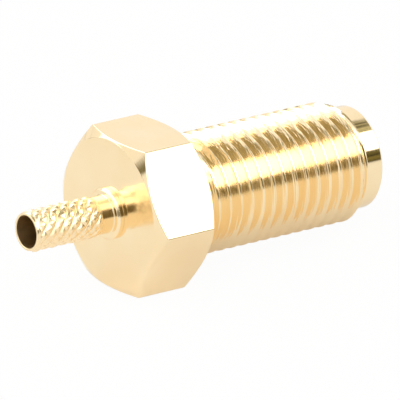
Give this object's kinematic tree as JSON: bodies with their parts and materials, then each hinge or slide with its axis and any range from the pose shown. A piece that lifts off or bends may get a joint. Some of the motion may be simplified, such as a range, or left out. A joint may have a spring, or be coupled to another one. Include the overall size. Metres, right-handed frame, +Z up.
{
  "type": "coaxial connector jack",
  "caption": "Gold-plated coaxial jack: hexagonal flange, long outside-threaded barrel with socket contact, and a knurled crimp stem for thin cable.",
  "frame": {"origin": "on the table under the middle of the bounding box, with the connector lying as it comes to rest: on the front edge of its lower flat and on the thread's front crest", "axes": "+X towards the mating end (the connector's own axis dips 4.45 degrees below +X), +Z up, one flange flat facing down"},
  "size_m": [0.0208, 0.0092, 0.0082],
  "materials": {
    "gold_plated_body": "polished gold plate over brass",
    "gold_plated_stem": "bright gold plate over knurled brass",
    "white_insulator": "matt white fluoropolymer",
    "gold_plated_contact": "gold plate over spring alloy"
  },
  "bodies": {
    "root": {"outer_body": "gold_plated_body", "crimp_stem": "gold_plated_stem", "insulator": "white_insulator", "centre_contact": "gold_plated_contact"}
  },
  "joints": []
}
